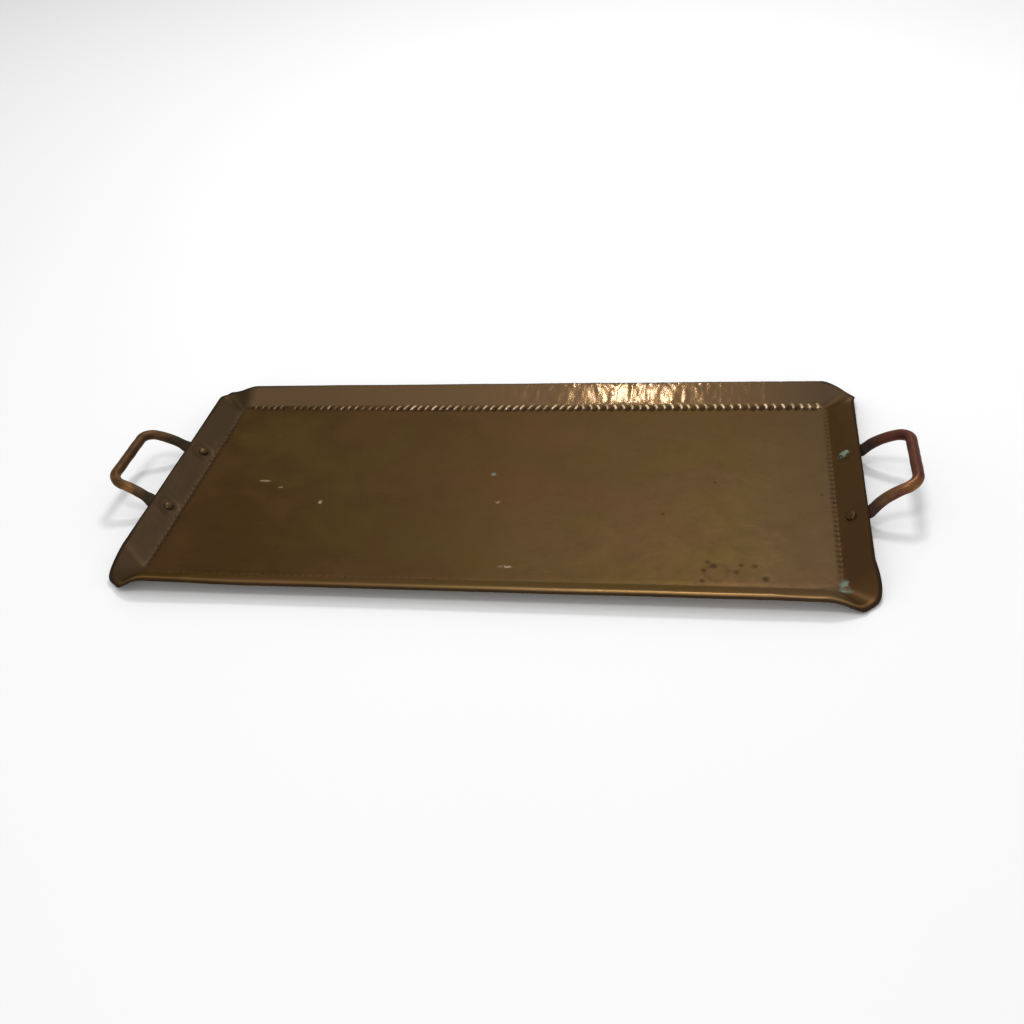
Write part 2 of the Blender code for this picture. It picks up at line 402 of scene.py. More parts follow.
def cornerRim(signs, t):
    # from the end wall's rim (t 0) out to the lip's tip and back to the side wall's rim (t 1)
    shape = corners[signs]
    reachX = pan["floorHalfLength"] + pan["endFlare"]
    reachY = pan["floorHalfWidth"] + pan["sideFlare"]
    tipX, tipY, tipZ = shape["tip"]
    first, middle, last = shape["fullness"]
    heading = math.radians(shape["heading"])
    way = Vector((-math.cos(heading), math.sin(heading), 0))
    start = Vector((reachX, reachY - shape["reachEnd"], 0))
    tip = Vector((reachX + tipX, reachY + tipY, 0))
    end = Vector((reachX - shape["reachSide"], reachY, 0))
    if t < 0.5:
        point = curveBetween(start, start + Vector((0, first, 0)), tip - way * middle, tip, 2 * t)
        point.z = mix(pan["endHeight"], tipZ, smoothStep(start.y, tip.y, point.y))
    else:
        point = curveBetween(tip, tip + way * middle, end + Vector((last, 0, 0)), end, 2 * t - 1)
        point.z = mix(pan["sideHeight"] + shape["crest"], tipZ, smoothStep(end.x, tip.x, point.x))
    return Vector((point.x * signs[0], point.y * signs[1], point.z))


def rimPoint(side, t):
    # a point of the floor's edge and of the rim above it, t running 0 to 1 along one stretch
    kind, signs = side
    length, width = pan["floorHalfLength"], pan["floorHalfWidth"]
    inner = pan["floorCorner"]

    if kind == "corner":
        angle = math.pi / 2 * t
        outward = Vector((math.cos(angle) * signs[0], math.sin(angle) * signs[1], 0))
        centre = Vector(((length - inner) * signs[0], (width - inner) * signs[1], 0))
        return centre + outward * inner, cornerRim(signs, t), outward

    along = 0 if kind in ("back", "front") else 1
    away = 1 - along
    sign = 1 if kind in ("back", "right") else -1
    footReach = (length if along == 0 else width) - inner
    footAway = width if along == 0 else length
    flare = pan["sideFlare"] if along == 0 else pan["endFlare"]
    ends = []
    for end in (-1, 1):
        shape = corners[(end, sign) if along == 0 else (sign, end)]
        full = length + pan["endFlare"] if along == 0 else width + pan["sideFlare"]
        ends.append((full - shape["reachSide" if along == 0 else "reachEnd"]) * end)

    foot = Vector((0, 0, 0))
    rim = Vector((0, 0, pan["sideHeight"] if along == 0 else pan["endHeight"]))
    foot[along] = mix(-footReach, footReach, t)
    foot[away] = footAway * sign
    rim[along] = mix(ends[0], ends[1], t)
    rim[away] = (footAway + flare) * sign
    if along == 0:
        for end in (-1, 1):
            fromEnd = abs(rim.x - ends[(end + 1) // 2])
            fade = 1 - smoothStep(0, pan["crestLength"], fromEnd)
            rim.z += corners[(end, sign)]["crest"] * fade
    outward = Vector((0, 0, 0))
    outward[away] = sign
    return foot, rim, outward


def rollAt(side, t):
    # only the front rim is rolled over outwards, dying out round its two corners
    kind, signs = side
    if kind == "front":
        return 1.0
    if kind == "corner" and signs[1] < 0:
        return smoothStep(0.35, 0.95, t)
    return 0.0


def panPoint(side, t, ring, isFloor):
    # a point of the inner skin, with how deep it was struck and how far a blow threw it up
    foot, rim, outward = rimPoint(side, t)
    kind, signs = side
    lengthwise = kind in ("back", "front")
    wall = rim - foot
    wallLength = wall.length
    climb, fall = 1.0, 0.0
    if isFloor:
        # inner rings keep a small round corner, so their straight stretches get shorter
        across = ring
        cornerRadius = max(pan["floorCorner"] + ring, pan["floorCornerLeast"])
        slip = ring - (cornerRadius - pan["floorCorner"])
        if kind == "corner":
            centre = foot - outward * pan["floorCorner"]
            point = centre + outward * cornerRadius + Vector((signs[0], signs[1], 0)) * slip
        else:
            point = foot + outward * ring
            half = pan["floorHalfLength"] if lengthwise else pan["floorHalfWidth"]
            straight = half - pan["floorCorner"]
            point[0 if lengthwise else 1] *= (straight + slip) / straight
    else:
        across = ring if ring < 0.02 else ring * wallLength
        fraction = across / wallLength
        point = foot + wall * fraction
        # where its rim is rolled over the wall reaches its height early, then falls again
        roll = rollAt(side, t)
        knee = 1 - pan["rollWidth"] * roll
        soft = pan["rollKnee"]
        early = fraction / knee
        beyond = max(0.0, early - (1 - soft))
        top = early - beyond ** 2 / (4 * soft) if early < 1 + soft else 1.0
        past = max(0.0, fraction - knee) / max(1 - knee, 0.001)
        climb = mix(1.0, top / fraction, smoothStep(0, 0.2, roll))
        fall = pan["rollDrop"] * roll * (1 - math.sqrt(max(0.0, 1 - past * past)))

    along = point.x if lengthwise else point.y
    slope = math.asin(wall.z / wallLength)
    rise = math.sin(slope) * (across + math.hypot(across, pan["bend"])) / 2
    point.z = rise * climb - fall
    normal = Vector((0, 0, math.cos(slope))) - outward * math.sin(slope)
    leaning = smoothStep(-pan["bendHalf"], pan["bendHalf"], across)
    normal = Vector((0, 0, 1)).lerp(normal, leaning).normalized()

    hollow, ridge = strikeDepth(kind, along, across)
    point += normal * (ridge - hollow)
    if not isFloor:
        point -= normal * dishDepth(kind, along, across)

    # planishing: shallow dishes that meet in soft ridges, deepest on the right of the back wall
    reach = Vector((point.x, point.y, 0)) / pan["planishSize"]
    dish = min(noise.voronoi(reach)[0][0], pan["planishMost"])
    onWall = smoothStep(*pan["workedFrom"], across)
    hammered = pan["workedLightly"]
    if kind == "back":
        hammered = mix(hammered, pan["workedHard"], smoothStep(*pan["workedHardFrom"], point.x))
    point += normal * (dish * dish - pan["planishLevel"]) * pan["planish"] * onWall * hammered
    crinkle = noise.noise(Vector((point.x, point.y, 0)) / pan["crinkleSize"])
    point += normal * crinkle * pan["crinkle"] * onWall * hammered
    wave = noise.noise(Vector((point.x * 14, point.y * 14, 3.0)))
    point.z += wave * pan["rimWave"] * onWall
    point.z += pan["floorLift"] * smoothStep(0, pan["liftWithin"], -across)
    return point, hollow, ridge


def zipLoops(mesh, halfX, halfY):
    # joins the floor grid's edge to the finer loop round it, walking both together; the sheet's
    # rim is open too, but lies further out
    def turn(vertex):
        return math.atan2(vertex.co.y / halfY, vertex.co.x / halfX) % math.tau

    inner, outer = [], []
    for vertex in (vertex for vertex in mesh.verts if vertex.is_boundary):
        reach = max(abs(vertex.co.x) - halfX, abs(vertex.co.y) - halfY)
        if reach < 0.001:
            inner.append(vertex)
        elif reach < 0.010:
            outer.append(vertex)
    inner.sort(key=turn)
    outer.sort(key=turn)
    i = j = 0
    while i < len(inner) or j < len(outer):
        nextInner = turn(inner[(i + 1) % len(inner)]) + (math.tau if i + 1 >= len(inner) else 0)
        nextOuter = turn(outer[(j + 1) % len(outer)]) + (math.tau if j + 1 >= len(outer) else 0)
        here, there = inner[i % len(inner)], outer[j % len(outer)]
        if j >= len(outer) or (i < len(inner) and nextInner < nextOuter):
            mesh.faces.new((here, there, inner[(i + 1) % len(inner)]))
            i += 1
        else:
            mesh.faces.new((here, there, outer[(j + 1) % len(outer)]))
            j += 1


def edgeVertices(obj):
    # the vertices on the open edge of a sheet
    mesh = bmesh.new()
    mesh.from_mesh(obj.data)
    found = {vertex.index for vertex in mesh.verts if vertex.is_boundary}
    mesh.free()
    return found


def buildPan(material):
    stretches = [("right", None), ("corner", (1, 1)), ("back", None), ("corner", (-1, 1)),
                 ("left", None), ("corner", (-1, -1)), ("front", None), ("corner", (1, -1))]
    # these run clockwise in their own stretch, so they are taken from their far end
    backwards = {("back", None), ("left", None), ("corner", (-1, 1)), ("corner", (1, -1))}
    stations = []
    for side in stretches:
        count = pan["steps"][side[0]]
        for step in range(count):
            t = step / count
            stations.append((side, 1 - t if side in backwards else t))

    # rings on the floor and the wall's foot go by distance, those above by share of the wall
    rings = [(ring / 1000, True) for ring in pan["floorRings"]]
    rings += [(ring / 1000, False) for ring in pan["footRings"]]
    rings += [(share, False) for share in pan["wallRings"]]

    deselectAll()
    bpy.ops.mesh.primitive_grid_add(x_subdivisions=len(stations), y_subdivisions=len(rings) - 1,
                                    size=2)
    band = bpy.context.object
    band.name = "hammeredPan"
    around, up = len(stations), len(rings) - 1
    marks = {"struck": [], "thrown": [], "edge": [], "crestHighlight": []}
    for vertex in band.data.vertices:
        column = round((vertex.co.x + 1) / 2 * around) % around
        row = round((vertex.co.y + 1) / 2 * up)
        side, t = stations[column]
        ring, isFloor = rings[row]
        point, hollow, ridge = panPoint(side, t, ring, isFloor)
        vertex.co = point
        marks["struck"].append(hollow * 1000)
        marks["thrown"].append(ridge * 1000)
        marks["edge"].append(1.0 if row >= up - pan["edgeRings"] else 0.0)
        # the rolled crest's painted highlight, strongest on the ring below the cut edge
        marks["crestHighlight"].append(pan["crestHighlightRings"].get(up - row, 0) * rollAt(side, t))
    for name, values in marks.items():
        band.data.attributes.new(name, "FLOAT", "POINT").data.foreach_set("value", values)
    print("pan: band of", around, "by", up)

    # the strip's ends meet, and a plain grid fills the floor inside it
    bpy.ops.object.mode_set(mode="EDIT")
    bpy.ops.mesh.select_all(action="SELECT")
    bpy.ops.mesh.remove_doubles(threshold=0.00001)
    bpy.ops.object.mode_set(mode="OBJECT")

    inset = -pan["floorRings"][0] / 1000 + pan["floorMargin"]
    halfX = pan["floorHalfLength"] - inset
    halfY = pan["floorHalfWidth"] - inset
    deselectAll()
    bpy.ops.mesh.primitive_grid_add(x_subdivisions=pan["floorSteps"][0],
                                    y_subdivisions=pan["floorSteps"][1], size=2,
                                    location=(0, 0, pan["floorLift"]))
    floor = bpy.context.object
    floor.scale = (halfX, halfY, 1)
    placeInMesh(floor)
    for vertex in floor.data.vertices:
        edge = min(halfX - abs(vertex.co.x), halfY - abs(vertex.co.y))
        swell = noise.noise(Vector((vertex.co.x * 9, vertex.co.y * 9, 8.0)))
        vertex.co.z += (0.35 + swell) * pan["floorSwell"] * smoothStep(0, 0.03, edge)

    deselectAll()
    floor.select_set(True)
    band.select_set(True)
    bpy.context.view_layer.objects.active = band
    bpy.ops.object.join()
    bpy.ops.object.mode_set(mode="EDIT")
    mesh = bmesh.from_edit_mesh(band.data)
    zipLoops(mesh, halfX, halfY)
    bmesh.update_edit_mesh(band.data)
    bpy.ops.mesh.select_all(action="SELECT")
    bpy.ops.mesh.normals_make_consistent(inside=False)
    mesh = bmesh.from_edit_mesh(band.data)
    middleFace = min(mesh.faces, key=lambda face: face.calc_center_median().length)
    if middleFace.normal.z < 0:
        bpy.ops.mesh.flip_normals()
    bpy.ops.object.mode_set(mode="OBJECT")
    print("pan: floor joined")

    # the corners were beaten round over a form, so their folds are eased, the rim held still:
    # low down only beside the foot, higher up further along the walls
    soft = band.vertex_groups.new(name="corners")
    held = edgeVertices(band)
    for vertex in band.data.vertices:
        outX, outY = abs(vertex.co.x), abs(vertex.co.y)
        beyond = max(outX - pan["floorHalfLength"], outY - pan["floorHalfWidth"])
        weight = 0.0
        for spans, third in ((pan["easeLow"], beyond), (pan["easeHigh"], vertex.co.z)):
            steps = [smoothStep(*span, value) for span, value in zip(spans, (outX, outY, third))]
            weight = max(weight, math.prod(steps))
        if weight > 0 and vertex.index not in held:
            soft.add([vertex.index], weight, "REPLACE")
    easing = band.modifiers.new("easing", "SMOOTH")
    easing.factor = pan["easing"]
    easing.iterations = pan["easingSteps"]
    easing.vertex_group = soft.name
    applyModifiers(band)

    # the sheet's thickness, then its cut edge is eased
    rim = band.vertex_groups.new(name="rim")
    sheet = band.modifiers.new("sheet", "SOLIDIFY")
    sheet.thickness = pan["sheet"]
    sheet.offset = -1
    sheet.use_quality_normals = True
    sheet.rim_vertex_group = rim.name
    applyModifiers(band)
    band.location.z = pan["sheet"]
    placeInMesh(band)

    rimIndex = band.vertex_groups["rim"].index
    onRim = {v.index for v in band.data.vertices if any(g.group == rimIndex for g in v.groups)}
    bpy.ops.object.mode_set(mode="EDIT")
    bpy.ops.mesh.select_mode(type="EDGE")
    bpy.ops.mesh.select_all(action="DESELECT")
    mesh = bmesh.from_edit_mesh(band.data)
    for edge in mesh.edges:
        cut = [all(v.index in onRim for v in face.verts) for face in edge.link_faces]
        edge.select_set(sum(cut) == 1)
    bmesh.update_edit_mesh(band.data)
    bpy.ops.mesh.bevel(offset=pan["edgeRound"], segments=1, affect="EDGES", clamp_overlap=True)
    bpy.ops.object.mode_set(mode="OBJECT")
    band.vertex_groups.clear()
    bpy.ops.object.shade_smooth_by_angle(angle=math.radians(pan["creaseAngle"]))
    finishPiece(band, "tray_pan", material)


# the handles: a rod bent to a D, its ends hammered flat under the wall

rod = {
    "radius": 0.0050,
    "sides": 24,
    "barX": 0.3742,
    "bendRadius": 0.0140,
    "topSlope": math.radians(20),
    "padTip": 0.0056,
    "padHalfWidth": 0.00825,
    "padHalfThickness": 0.0013,
    "rimHalfThickness": 0.0035,
    "neckLength": 0.0095,
    "flatUpTo": 0.0175,
    "tipLength": 0.0068,
    "gap": 0.0003,
    "rivetY": 0.0457,
    "forging": 0.0006,
    "forgingSize": 0.011,
    "padSteps": 18,
    "archSteps": 16,
    "bendSteps": 14,
    "barSteps": 14,
    "creaseAngle": 60,
}
handles = {
    "right": {"turn": 0, "shift": -0.0020, "barHalfLength": 0.0376, "barZ": 0.0384},
    "left": {"turn": math.pi, "shift": -0.0006, "barHalfLength": 0.0410, "barZ": 0.0352},
}

wallSlope = math.atan2(pan["endHeight"], pan["endFlare"])
wallLength = math.hypot(pan["endHeight"], pan["endFlare"])
# local X runs up the end wall, local Z stands square to it, into the tray
wallFrame = (Matrix.Translation((pan["floorHalfLength"], 0, pan["sheet"]))
             @ Matrix.Rotation(-wallSlope, 4, "Y"))


def extrudeBy(step):
    bpy.ops.mesh.extrude_region_move(TRANSFORM_OT_translate={"value": tuple(step)})


def turnSelected(obj, centre, axis, angle):
    mesh = bmesh.from_edit_mesh(obj.data)
    picked = [vertex for vertex in mesh.verts if vertex.select]
    bmesh.ops.rotate(mesh, verts=picked, cent=centre, matrix=Matrix.Rotation(angle, 3, axis))
    bmesh.update_edit_mesh(obj.data)


def selectFaces(obj, wanted):
    mesh = bmesh.from_edit_mesh(obj.data)
    for face in mesh.faces:
        face.select_set(False)
    for face in mesh.faces:
        if wanted(face):
            face.select_set(True)
    mesh.select_flush_mode()
    bmesh.update_edit_mesh(obj.data)


def buildHandle(name, shape, material):
    # one leg and half the bar are bent from a straight rod, then mirrored
    across = Vector((0, 1, 0))
    corner = wallFrame.inverted() @ Vector((rod["barX"], shape["barHalfLength"], shape["barZ"]))
    low = -(pan["sheet"] + rod["gap"] + rod["rimHalfThickness"])
    start = Vector((wallLength, rod["rivetY"], low))
    lean = math.atan2(rod["rivetY"] - shape["barHalfLength"], corner.x - start.x)
    endSlope = rod["topSlope"] - wallSlope

    def wayAt(slope):
        return Vector((math.cos(slope) * math.cos(lean), -math.cos(slope) * math.sin(lean),
                       math.sin(slope)))

    endWay = wayAt(endSlope)
    bendTurn = endWay.angle(-across)
    end = corner - endWay * rod["bendRadius"] * math.tan(bendTurn / 2)
    chord = end - start
    chordSlope = math.atan2(chord.z, math.hypot(chord.x, chord.y))
    startSlope = 2 * chordSlope - endSlope
    arch = startSlope - endSlope
    archRadius = chord.length / (2 * math.sin(arch / 2))
    startWay = wayAt(startSlope)
    sideways = Vector((math.sin(lean), math.cos(lean), 0))
    startUp = startWay.cross(sideways)

    deselectAll()
    bpy.ops.mesh.primitive_circle_add(vertices=rod["sides"], radius=rod["radius"],
                                      fill_type="NGON", rotation=(0, math.pi / 2, 0),
                                      location=(rod["padTip"], rod["rivetY"], low))
    piece = bpy.context.object
    piece.name = "handle" + name.capitalize()
    placeInMesh(piece)
    bpy.ops.object.mode_set(mode="EDIT")
    bpy.ops.mesh.select_mode(type="FACE")
    bpy.ops.mesh.select_all(action="SELECT")
    for step in range(rod["padSteps"]):
        extrudeBy(((wallLength - rod["padTip"]) / rod["padSteps"], 0, 0))

    # the rod lifts off the wall at the rim, then arches over to the bar
    turnSelected(piece, start, across, -startSlope)
    turnSelected(piece, start, Vector((0, 0, 1)), -lean)
    bpy.ops.mesh.spin(steps=rod["archSteps"], angle=-arch,
                      center=tuple(start - startUp * archRadius), axis=tuple(sideways))
    bendAxis = endWay.cross(-across).normalized()
    inward = bendAxis.cross(endWay)
    bpy.ops.mesh.spin(steps=rod["bendSteps"], angle=-bendTurn,
                      center=tuple(end + inward * rod["bendRadius"]), axis=tuple(bendAxis))
    mesh = bmesh.from_edit_mesh(piece.data)
    reached = [vertex.co.copy() for vertex in mesh.verts if vertex.select]
    middle = sum(reached, Vector()) / len(reached)
    for step in range(rod["barSteps"]):
        extrudeBy((0, -middle.y / rod["barSteps"], 0))
    mesh = bmesh.from_edit_mesh(piece.data)
    for vertex in mesh.verts:
        if vertex.select:
            vertex.co.y = 0
    bmesh.update_edit_mesh(piece.data)
    bpy.ops.mesh.delete(type="ONLY_FACE")
    bpy.ops.object.mode_set(mode="OBJECT")

    # hammered flat towards its end
    for vertex in piece.data.vertices:
        distance = vertex.co.x
        past = distance - wallLength
        if past > rod["neckLength"]:
            continue
        if past > 0:
            ease = smoothStep(0, rod["neckLength"], past)
            thick = mix(rod["rimHalfThickness"], rod["radius"], ease)
            wide = mix(rod["padHalfWidth"], rod["radius"], ease)
            centreY = start.y - past * math.tan(lean)
            centreZ = low + past * math.tan(startSlope) - past * past / (2 * archRadius)
            newZ = centreZ
            squareness = 1.0
        else:
            ease = smoothStep(rod["flatUpTo"], wallLength, distance)
            thick = mix(rod["padHalfThickness"], rod["rimHalfThickness"], ease)
            fromTip = (distance - rod["padTip"]) / rod["tipLength"]
            tip = math.sqrt(max(0.05, 1 - (1 - min(1, fromTip)) ** 2))
            wide = rod["padHalfWidth"] * tip
            centreY, centreZ = start.y, low
            newZ = -(pan["sheet"] + rod["gap"] + thick)
            squareness = mix(0.6, 1.0, ease)
        aside = (vertex.co.y - centreY) / rod["radius"]
        above = (vertex.co.z - centreZ) / rod["radius"]
        aside = math.copysign(abs(aside) ** squareness, aside)
        above = math.copysign(abs(above) ** squareness, above)
        vertex.co.y = centreY + aside * wide
        vertex.co.z = newZ + above * thick

    mirror = piece.modifiers.new("otherLeg", "MIRROR")
    mirror.use_axis = (False, True, False)
    mirror.merge_threshold = 0.00005
    forging = bpy.data.textures.new("forging" + name, "CLOUDS")
    forging.noise_scale = rod["forgingSize"]
    forging.noise_depth = 1
    uneven = piece.modifiers.new("forged", "DISPLACE")
    uneven.texture = forging
    uneven.texture_coords = "LOCAL"
    uneven.mid_level = 0.5
    uneven.strength = rod["forging"]
    applyModifiers(piece)
    bpy.ops.object.mode_set(mode="EDIT")
    bpy.ops.mesh.select_all(action="SELECT")
    bpy.ops.mesh.remove_doubles(threshold=0.00002)
    bpy.ops.mesh.normals_make_consistent(inside=False)
    bpy.ops.object.mode_set(mode="OBJECT")
    place = (Matrix.Translation((0, shape["shift"], 0))
             @ Matrix.Rotation(shape["turn"], 4, "Z") @ wallFrame)
    placeInMesh(piece, place)
    bpy.ops.object.shade_smooth_by_angle(angle=math.radians(rod["creaseAngle"]))
    finishPiece(piece, "handle_" + name, material)
    print("handle", name, "bent")


# the rivets: domed head inside the tray, shank through wall and pad, hammered tail outside

rivet = {
    "x": 0.3200,
    "headRadius": 0.0050,
    "headHeight": 0.0022,
    "shankRadius": 0.0025,
    "tailRadius": 0.0042,
    "tailHeight": 0.0017,
    "sides": 28,
    "domeSteps": 6,
    "blowSize": 260,
    "blowAcross": 0.10,
    "blowAlong": 0.00022,
    "creaseAngle": 50,
}


def growDome(obj, sign, end, radius, height):
    # widens the end face to the dome's foot, then draws it in over a few steps
    selectFaces(obj, lambda face: face.normal.z * sign > 0.9
                and abs(face.calc_center_median().z - end) < 0.0001)
    extrudeBy((0, 0, 0.00005 * sign))
    ratio = radius / rivet["shankRadius"]
    bpy.ops.transform.resize(value=(ratio, ratio, 1))
    steps = rivet["domeSteps"]
    for step in range(steps):
        angle = math.pi / 2 * step / steps
        after = math.pi / 2 * (step + 0.85 if step + 1 == steps else step + 1) / steps
        extrudeBy((0, 0, height * (math.sin(after) - math.sin(angle)) * sign))
        ratio = math.cos(after) / math.cos(angle)
        bpy.ops.transform.resize(value=(ratio, ratio, 1))


def buildRivet(name, end, shape, index, material):
    grip = pan["sheet"] + 2 * rod["padHalfThickness"] + 2 * rod["gap"]
    head = -rod["gap"]
    deselectAll()
    bpy.ops.mesh.primitive_cylinder_add(vertices=rivet["sides"], radius=rivet["shankRadius"],
                                        depth=grip - head, location=(0, 0, (grip + head) / 2))
    piece = bpy.context.object
    piece.name = "rivet" + name.capitalize() + end.capitalize()
    placeInMesh(piece)
    bpy.ops.object.mode_set(mode="EDIT")
    bpy.ops.mesh.select_mode(type="FACE")
    growDome(piece, -1, head, rivet["headRadius"], rivet["headHeight"])
    growDome(piece, 1, grip, rivet["tailRadius"], rivet["tailHeight"])
    bpy.ops.object.mode_set(mode="OBJECT")

    # hammer blows have left the head and the tail a little out of round
    for vertex in piece.data.vertices:
        blow = noise.noise(vertex.co * rivet["blowSize"] + Vector((index * 7.3, 0, 0)))
        flat = Vector((vertex.co.x, vertex.co.y, 0))
        vertex.co += flat * blow * rivet["blowAcross"]
        vertex.co.z += blow * rivet["blowAlong"]
    turn = Matrix.Rotation(shape["turn"], 4, "Z")
    side = rod["rivetY"] * (1 if end == "back" else -1) * round(math.cos(shape["turn"]))
    distance = (rivet["x"] - pan["floorHalfLength"]) / math.cos(wallSlope)
    seat = Matrix.Translation((distance, side, 0)) @ Matrix.Rotation(math.pi, 4, "X")
    place = Matrix.Translation((0, shape["shift"], 0)) @ turn @ wallFrame @ seat
    placeInMesh(piece, place)
    bpy.ops.object.shade_smooth_by_angle(angle=math.radians(rivet["creaseAngle"]))
    finishPiece(piece, "rivet_" + name + "_" + end, material)


# the finishes

copper = {
    "umber": (0.0355, 0.0162, 0.0024),
    "olive": (0.077, 0.0435, 0.0155),
    "reddish": (0.090, 0.039, 0.016),
    "mossy": (0.072, 0.046, 0.0085),
    "shade": (0.024, 0.012, 0.003),
    "leftEnd": (0.032, 0.021, 0.011),
    "rightEnd": (0.046, 0.021, 0.006),
    "dull": (0.062, 0.040, 0.024),
    "frontGain": (1.40, 1.60, 1.75),
    "polished": (0.175, 0.098, 0.040),
    # dark for the hollows: dirt and painted shade
    "hollowDirtAndShade": (0.018, 0.008, 0.007),
    # pale, for rubbed wear and painted glints
    "rubbedGlint": (0.58, 0.44, 0.29),
    "cutEdge": (0.026, 0.016, 0.012),
    # the front rim crest's painted highlight
    "crest": (0.34, 0.185, 0.070),
    "wetRing": (0.045, 0.026, 0.012),
    "spot": (0.036, 0.020, 0.009),
    "nick": (0.36, 0.30, 0.19),
    "verdigris": (0.15, 0.20, 0.155),
    "scratch": (0.21, 0.14, 0.07),
    "rodLeft": (0.072, 0.036, 0.015),
    "rodRight": (0.088, 0.029, 0.017),
    "rodLeftDark": (0.042, 0.023, 0.012),
    "rodRightDark": (0.056, 0.022, 0.021),
    # rubbed wear and a painted highlight on the handles
    "rodRubbedGlint": (0.24, 0.115, 0.036),
    "sooty": (0.017, 0.020, 0.014),
    "rivet": (0.080, 0.045, 0.019),
    "rivetDark": (0.045, 0.025, 0.011),
}
ringStains = [
    {"centre": (-0.105, 0.020, 0.001), "radius": 0.036, "width": 0.0030, "depth": 0.14},
    {"centre": (0.060, -0.055, 0.001), "radius": 0.042, "width": 0.0026, "depth": 0.12},
    {"centre": (0.207, -0.118, 0.001), "radius": 0.010, "width": 0.0040, "depth": 0.30},
]
darkSpots = [{"centre": (x, y, 0.001), "radius": radius} for x, y, radius in (
    (0.199, -0.105, 0.0020), (0.204, -0.110, 0.0028), (0.196, -0.116, 0.0022),
    (0.195, -0.129, 0.0020), (0.227, -0.108, 0.0019), (0.223, -0.117, 0.0024),
    (0.2385, -0.1095, 0.0026), (0.247, -0.1255, 0.0026), (0.158, -0.040, 0.0019),
    (0.203, 0.008, 0.0015), (0.298, -0.009, 0.0018),
)]
paleNicks = [{"centre": (x, y, 0.001), "radius": radius, "stretch": (*stretch, 1)}
             for x, y, radius, stretch in (
    (-0.171, -0.030, 0.0020, (1, 0.6)), (0.003, -0.026, 0.0018, (0.7, 1)),
    (0.026, -0.117, 0.0024, (0.45, 1.6)), (-0.239, 0.004, 0.0022, (0.4, 1.6)),
    (-0.219, -0.0065, 0.0016, (0.8, 1.2)),
)]
verdigrisSpots = [
    {"centre": (-0.008, 0.018, 0.001), "radius": 0.0024},
    {"centre": (0.3095, -0.1290, 0.002), "radius": 0.0034, "stretch": (1, 0.7, 0.5)},
    {"centre": (0.3055, -0.1370, 0.003), "radius": 0.0036, "stretch": (0.5, 1.4, 0.5)},
    {"centre": (0.3190, 0.0425, 0.009), "radius": 0.0034, "stretch": (0.7, 1, 0.5)},
]


def strongest(masks):
    total = masks[0]
    for mask in masks[1:]:
        total = total.math("MAXIMUM", mask)
    return total


def spotted(finish, spots, ragged, soft):
    # 1 within any of the spots, 0 outside them all, with soft and ragged edges
    masks = []
    for spot in spots:
        radius = spot["radius"]
        distance = finish.away(spot["centre"], spot.get("stretch", (1, 1, 1)))
        distance = distance + ragged * (radius / 0.010)
        masks.append(1 - distance.between(radius * (1 - soft), radius * (1 + soft)))
    return strongest(masks)


